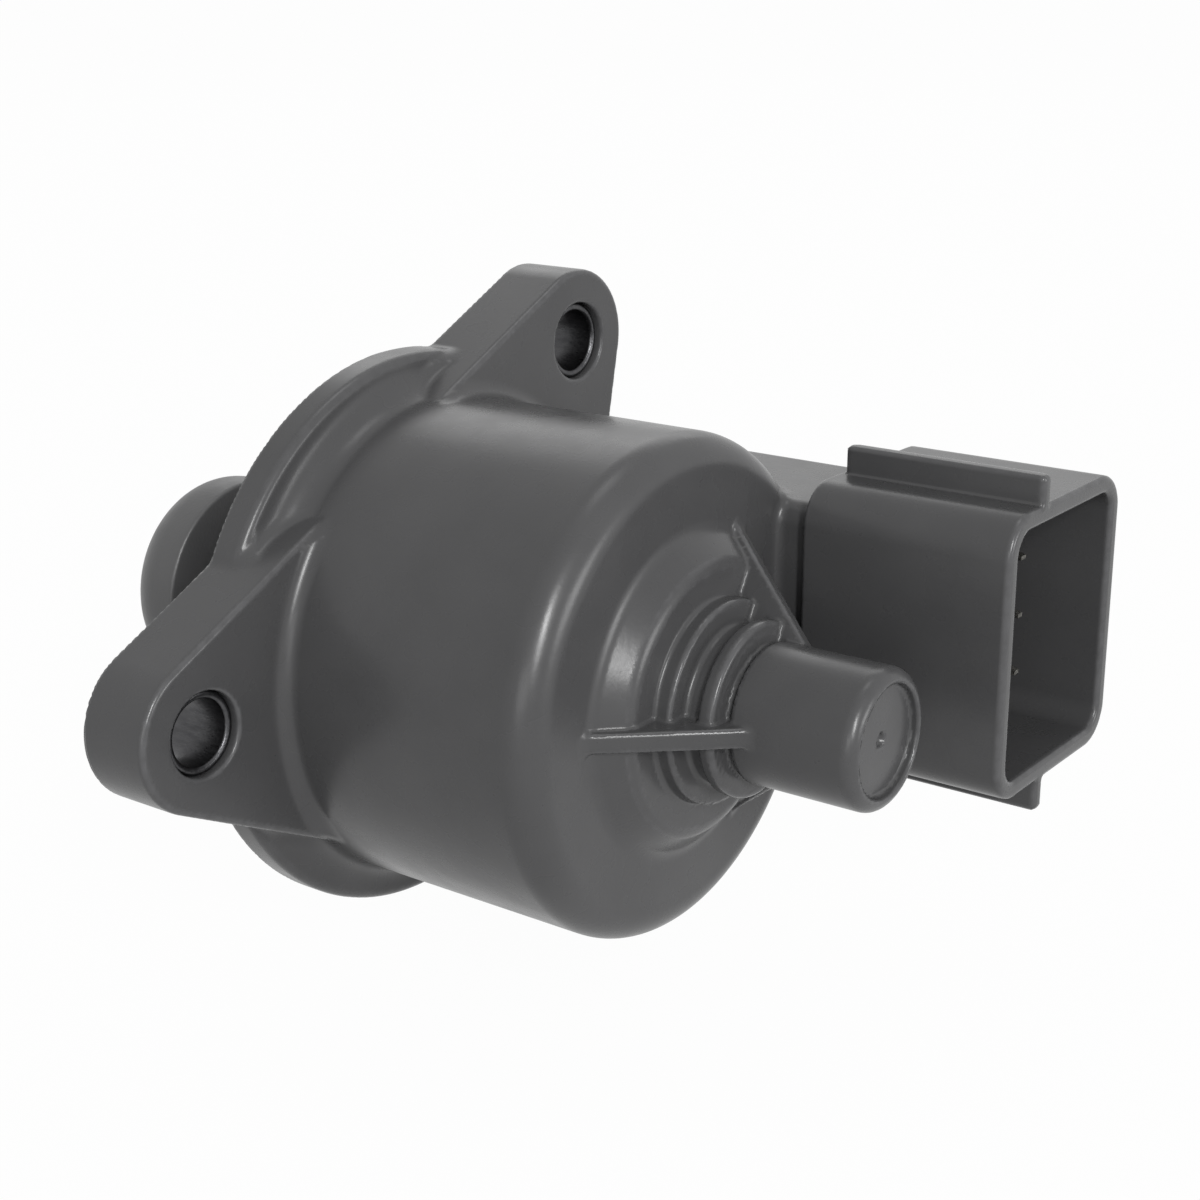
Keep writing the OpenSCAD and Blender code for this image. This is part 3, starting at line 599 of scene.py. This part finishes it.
def finish_of(name, dark, light, rough, metal=0.0, cloud=120, grain=2500, relief=0.00002,
              stretch=None, edge_wear_and_sheen=None, edge_rough=None, specular=0.5):
    """A material whose colour runs from dark to light and whose roughness spans a range."""
    material = bpy.data.materials.new(name)
    material.use_nodes = True
    nodes, links = material.node_tree.nodes, material.node_tree.links
    shader = nodes["Principled BSDF"]
    coords = nodes.new("ShaderNodeTexCoord")
    clouds = noise(nodes, links, coords, cloud, 4.0, stretch)
    grains = noise(nodes, links, coords, grain, 2.0, stretch)
    colour = mixed(nodes, links, ranged(nodes, links, clouds, 0, 1), dark, light)
    roughness = ranged(nodes, links, noise(nodes, links, coords, cloud * 3.1, 3.0, stretch), *rough)
    # Convex edges, in noisy patches, get a lighter colour and a lower roughness: partly edge wear,
    # partly a painted highlight along the edges
    if edge_wear_and_sheen:
        edge = nodes.new("ShaderNodeAttribute")
        edge.attribute_name = "edge"
        scuff_and_sheen_patches = noise(nodes, links, coords, cloud * 8, 4.0)
        worn_and_sheen = nodes.new("ShaderNodeMath")
        worn_and_sheen.operation = "MULTIPLY"
        links.new(ranged(nodes, links, edge.outputs["Fac"], 0, 1, 0.35, 1.0), worn_and_sheen.inputs[0])
        links.new(ranged(nodes, links, scuff_and_sheen_patches, 0.25, 1.0, 0.35, 0.65), worn_and_sheen.inputs[1])
        colour = mixed(nodes, links, worn_and_sheen.outputs[0], colour, edge_wear_and_sheen)
        blend = nodes.new("ShaderNodeMix")
        links.new(worn_and_sheen.outputs[0], blend.inputs[0])
        links.new(roughness, blend.inputs[2])
        blend.inputs[3].default_value = edge_rough
        roughness = blend.outputs[0]
    links.new(colour, shader.inputs["Base Color"])
    links.new(roughness, shader.inputs["Roughness"])
    shader.inputs["Metallic"].default_value = metal
    shader.inputs["Specular IOR Level"].default_value = specular
    bump = nodes.new("ShaderNodeBump")
    bump.inputs["Distance"].default_value = relief
    bump.inputs["Strength"].default_value = 1.0
    links.new(grains, bump.inputs["Height"])
    links.new(bump.outputs["Normal"], shader.inputs["Normal"])
    return material


FINISHES = {
    # The housing and guide plastics have their convex edges painted lighter: edge wear together
    # with a painted highlight
    "housing_plastic": finish_of(
        "moulded_black_plastic", (0.041, 0.041, 0.042), (0.048, 0.048, 0.049), (0.25, 0.31),
        relief=0.000006, edge_wear_and_sheen=(0.062, 0.062, 0.064), edge_rough=0.22, specular=0.26,
    ),
    "guide_plastic": finish_of(
        "guide_black_plastic", (0.030, 0.030, 0.031), (0.045, 0.045, 0.046), (0.40, 0.52),
        grain=3500, relief=0.000015, edge_wear_and_sheen=(0.07, 0.07, 0.07), edge_rough=0.38,
    ),
    "plunger_plastic": finish_of(
        "plunger_black_plastic", (0.046, 0.046, 0.047), (0.058, 0.058, 0.059), (0.34, 0.46),
        grain=3000,
    ),
    "bush_steel": finish_of(
        "bush_black_oxide", (0.055, 0.055, 0.058), (0.085, 0.085, 0.088), (0.26, 0.38), metal=1.0,
        cloud=600, stretch=(1, 4, 4),
    ),
    "seal_rubber": finish_of(
        "ring_rubber", (0.012, 0.012, 0.012), (0.022, 0.022, 0.021), (0.55, 0.70),
        grain=4000, specular=0.35,
    ),
    "pole_steel": finish_of(
        "pole_plated_steel", (0.42, 0.42, 0.43), (0.55, 0.55, 0.56), (0.30, 0.42), metal=1.0,
    ),
    "bobbin_plastic": finish_of(
        "bobbin_nylon", (0.55, 0.52, 0.42), (0.66, 0.62, 0.50), (0.42, 0.55),
    ),
    "winding_copper": finish_of(
        "winding_enamelled_copper", (0.42, 0.16, 0.06), (0.62, 0.27, 0.11), (0.22, 0.35), metal=1.0,
        cloud=900, grain=1800, relief=0.00008, stretch=(4, 1, 1),
    ),
    "terminal_brass": finish_of(
        "terminal_tin_plate", (0.50, 0.49, 0.45), (0.68, 0.67, 0.62), (0.22, 0.36), metal=1.0,
        cloud=500, stretch=(0.3, 2, 2),
    ),
    "bearing_steel": finish_of(
        "bearing_polished_steel", (0.60, 0.61, 0.62), (0.70, 0.70, 0.71), (0.12, 0.2), metal=1.0,
    ),
    "cage_brass": finish_of(
        "cage_satin_brass", (0.55, 0.42, 0.18), (0.66, 0.52, 0.26), (0.3, 0.4), metal=1.0,
    ),
    "washer_steel": finish_of(
        "washer_spring_steel", (0.42, 0.42, 0.44), (0.56, 0.56, 0.57), (0.26, 0.4), metal=1.0,
    ),
    "bush_bronze": finish_of(
        "bush_sintered_bronze", (0.42, 0.28, 0.13), (0.58, 0.41, 0.21), (0.42, 0.6), metal=1.0,
        grain=5000, relief=0.00005,
    ),
    "magnet_ferrite": finish_of(
        "magnet_sintered_ferrite", (0.05, 0.05, 0.052), (0.085, 0.085, 0.09), (0.5, 0.66),
        grain=4500, relief=0.00004,
    ),
    "nut_plastic": finish_of(
        "nut_acetal", (0.68, 0.65, 0.55), (0.78, 0.75, 0.65), (0.36, 0.48),
    ),
    "screw_steel": finish_of(
        "screw_ground_steel", (0.44, 0.44, 0.45), (0.58, 0.58, 0.59), (0.22, 0.34), metal=1.0,
        cloud=700, stretch=(6, 1, 1),
    ),
    "spring_steel": finish_of(
        "spring_bright_wire", (0.42, 0.42, 0.43), (0.60, 0.60, 0.60), (0.20, 0.32), metal=1.0,
        cloud=500,
    ),
}


def place(piece, body, slot, *nodes):
    """Gives a piece its finish and its body, and the CAD nodes that it stands for."""
    piece.data.materials.clear()
    piece.data.materials.append(FINISHES[slot])
    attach(piece, body)
    if nodes:
        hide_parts(*nodes)
    return piece


def build_pieces():
    """The pieces that stand for CAD nodes, each on its body."""
    faces, vertices, normals, bend = field_piece(housing_field, "housing")
    rear = vertices[faces[:, 0], 0] > SPLIT_X
    for name, chosen in (("housing_front_skin", faces[~rear]), ("housing_rear_skin", faces[rear])):
        skin = skin_object(name, chosen, vertices, normals, bend)
        place(skin, "valve_body", "housing_plastic", "housing")
    faces, vertices, normals, bend = field_piece(guide_field, "front_guide")
    guide = skin_object("front_guide_skin", faces, vertices, normals, bend)
    place(guide, "valve_body", "guide_plastic", "front_guide")
    for angle, ear in zip(EAR_ANGLES, ("near", "upper", "lower")):
        bush = bush_piece(f"{ear}_ear_steel_bush", angle)
        place(bush, "valve_body", "bush_steel", f"{ear}_ear_bush")
    place(o_ring_piece(), "valve_body", "seal_rubber", "pilot_o_ring")
    place(plunger_piece(), "plunger", "plunger_plastic", "plunger_head")
    place(washer_piece(), "plunger", "washer_steel", "spring_seat")
    spring = place(spring_piece(), "valve_body", "spring_steel", "plunger_spring")
    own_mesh(spring)


def dress_nodes():
    """Materials for the CAD nodes that stay."""
    slot_of = {part["node"]: part["material_slot"] for part in frame["record"]["subparts"]}
    for name, node in frame["nodes"].items():
        if node.type != "MESH":
            continue
        node.data.materials.clear()
        node.data.materials.append(FINISHES[slot_of[name]])


# Camera and light, in metres
CAMERA_AT = (0.11616, -0.12776, 0.05648)
CAMERA_RIGHT = (0.80486, 0.59352, -0.00224)
CAMERA_UP = (-0.17788, 0.24487, 0.95313)
CAMERA_BACK = (0.56619, -0.76676, 0.30264)
LENS_MM, SENSOR_MM = 62.3, 36.0
FLOOR_Z, FLOOR_SIZE, FLOOR_GREY, FLOOR_ROUGH = -0.0292, 12.0, 0.5, 0.9
LAMPS_AIM_AT = (0.02, 0, 0)

# Strength of the even light, and the share of white in the floor as the camera sees it
AMBIENT, FLOOR_WHITE = 0.72, 0.97

# Name, azimuth and elevation in degrees, distance and size in metres, power in watts
SOFTBOXES = (
    ("key_softbox", -36, 25, 1.0, (0.10, 0.36), 8.5),
    ("fill_softbox", -62, 3, 1.1, (0.5, 0.5), 2.5),
    ("top_softbox", 80, 80, 1.0, (0.3, 0.3), 0.8),
    ("back_softbox", 122, 34, 1.2, (0.9, 0.5), 1.6),
    ("mouth_softbox", 14, 6, 1.3, (0.5, 0.3), 5.0),
)


def add_camera():
    """Camera at the photograph's viewing angle."""
    data = bpy.data.cameras.new("camera")
    data.lens, data.sensor_width = LENS_MM, SENSOR_MM
    data.sensor_fit = "HORIZONTAL"
    data.clip_start, data.clip_end = 0.01, 40
    camera = bpy.data.objects.new("camera", data)
    axes = Matrix((CAMERA_RIGHT, CAMERA_UP, CAMERA_BACK)).transposed().to_4x4()
    camera.matrix_world = Matrix.Translation(CAMERA_AT) @ axes
    bpy.context.scene.collection.objects.link(camera)
    bpy.context.scene.camera = camera


def add_softbox(name, azimuth, elevation, distance, size, power):
    """An area lamp that faces the valve from a direction given in the valve's frame."""
    a, e = math.radians(azimuth), math.radians(elevation)
    towards = Vector((math.cos(e) * math.cos(a), math.cos(e) * math.sin(a), math.sin(e)))
    data = bpy.data.lights.new(name, "AREA")
    data.shape, data.size, data.size_y, data.energy = "RECTANGLE", *size, power
    lamp = bpy.data.objects.new(name, data)
    lamp.location = towards * distance + Vector(LAMPS_AIM_AT)
    lamp.rotation_euler = towards.to_track_quat("Z", "Y").to_euler()
    bpy.context.scene.collection.objects.link(lamp)


def seen_directly(nodes, links):
    """1 for rays from the camera, a glossy bounce or through glass, else 0."""
    path = nodes.new("ShaderNodeLightPath")
    total = path.outputs["Is Camera Ray"]
    for name in ("Is Glossy Ray", "Is Transmission Ray"):
        larger = nodes.new("ShaderNodeMath")
        larger.operation = "MAXIMUM"
        links.new(total, larger.inputs[0])
        links.new(path.outputs[name], larger.inputs[1])
        total = larger.outputs[0]
    return total


def add_world():
    """Even white light, and a white background for the camera and for glossy bounces."""
    world = bpy.data.worlds.new("studio")
    bpy.context.scene.world = world
    world.use_nodes = True
    nodes, links = world.node_tree.nodes, world.node_tree.links
    ambient = nodes["Background"]
    ambient.inputs["Color"].default_value = (1, 1, 1, 1)
    ambient.inputs["Strength"].default_value = AMBIENT
    seen = nodes.new("ShaderNodeBackground")
    seen.inputs["Color"].default_value = (1, 1, 1, 1)
    seen.inputs["Strength"].default_value = 1.0
    choose = nodes.new("ShaderNodeMixShader")
    links.new(seen_directly(nodes, links), choose.inputs[0])
    links.new(ambient.outputs[0], choose.inputs[1])
    links.new(seen.outputs[0], choose.inputs[2])
    links.new(choose.outputs[0], nodes["World Output"].inputs["Surface"])


def add_floor():
    """Pale floor that keeps a faint shadow and is otherwise white in the picture."""
    half = FLOOR_SIZE / 2
    mesh = bpy.data.meshes.new("floor")
    corners = [(-half, -half), (half, -half), (half, half), (-half, half)]
    mesh.from_pydata([(x, y, FLOOR_Z) for x, y in corners], [], [(0, 1, 2, 3)])
    floor = bpy.data.objects.new("floor", mesh)
    bpy.context.scene.collection.objects.link(floor)
    material = bpy.data.materials.new("pale_floor")
    material.use_nodes = True
    nodes, links = material.node_tree.nodes, material.node_tree.links
    shader = nodes["Principled BSDF"]
    shader.inputs["Base Color"].default_value = (FLOOR_GREY, FLOOR_GREY, FLOOR_GREY, 1)
    shader.inputs["Roughness"].default_value = FLOOR_ROUGH
    white = nodes.new("ShaderNodeEmission")
    white.inputs["Color"].default_value = (1, 1, 1, 1)
    white.inputs["Strength"].default_value = 1.0
    share = nodes.new("ShaderNodeMath")
    share.operation = "MULTIPLY"
    share.inputs[1].default_value = FLOOR_WHITE
    choose = nodes.new("ShaderNodeMixShader")
    links.new(seen_directly(nodes, links), share.inputs[0])
    links.new(share.outputs[0], choose.inputs[0])
    links.new(shader.outputs[0], choose.inputs[1])
    links.new(white.outputs[0], choose.inputs[2])
    links.new(choose.outputs[0], nodes["Material Output"].inputs["Surface"])
    mesh.materials.append(material)


bpy.context.scene.view_settings.view_transform = "Standard"
build_pieces()
dress_nodes()
add_camera()
add_world()
add_floor()
for softbox in SOFTBOXES:
    add_softbox(*softbox)
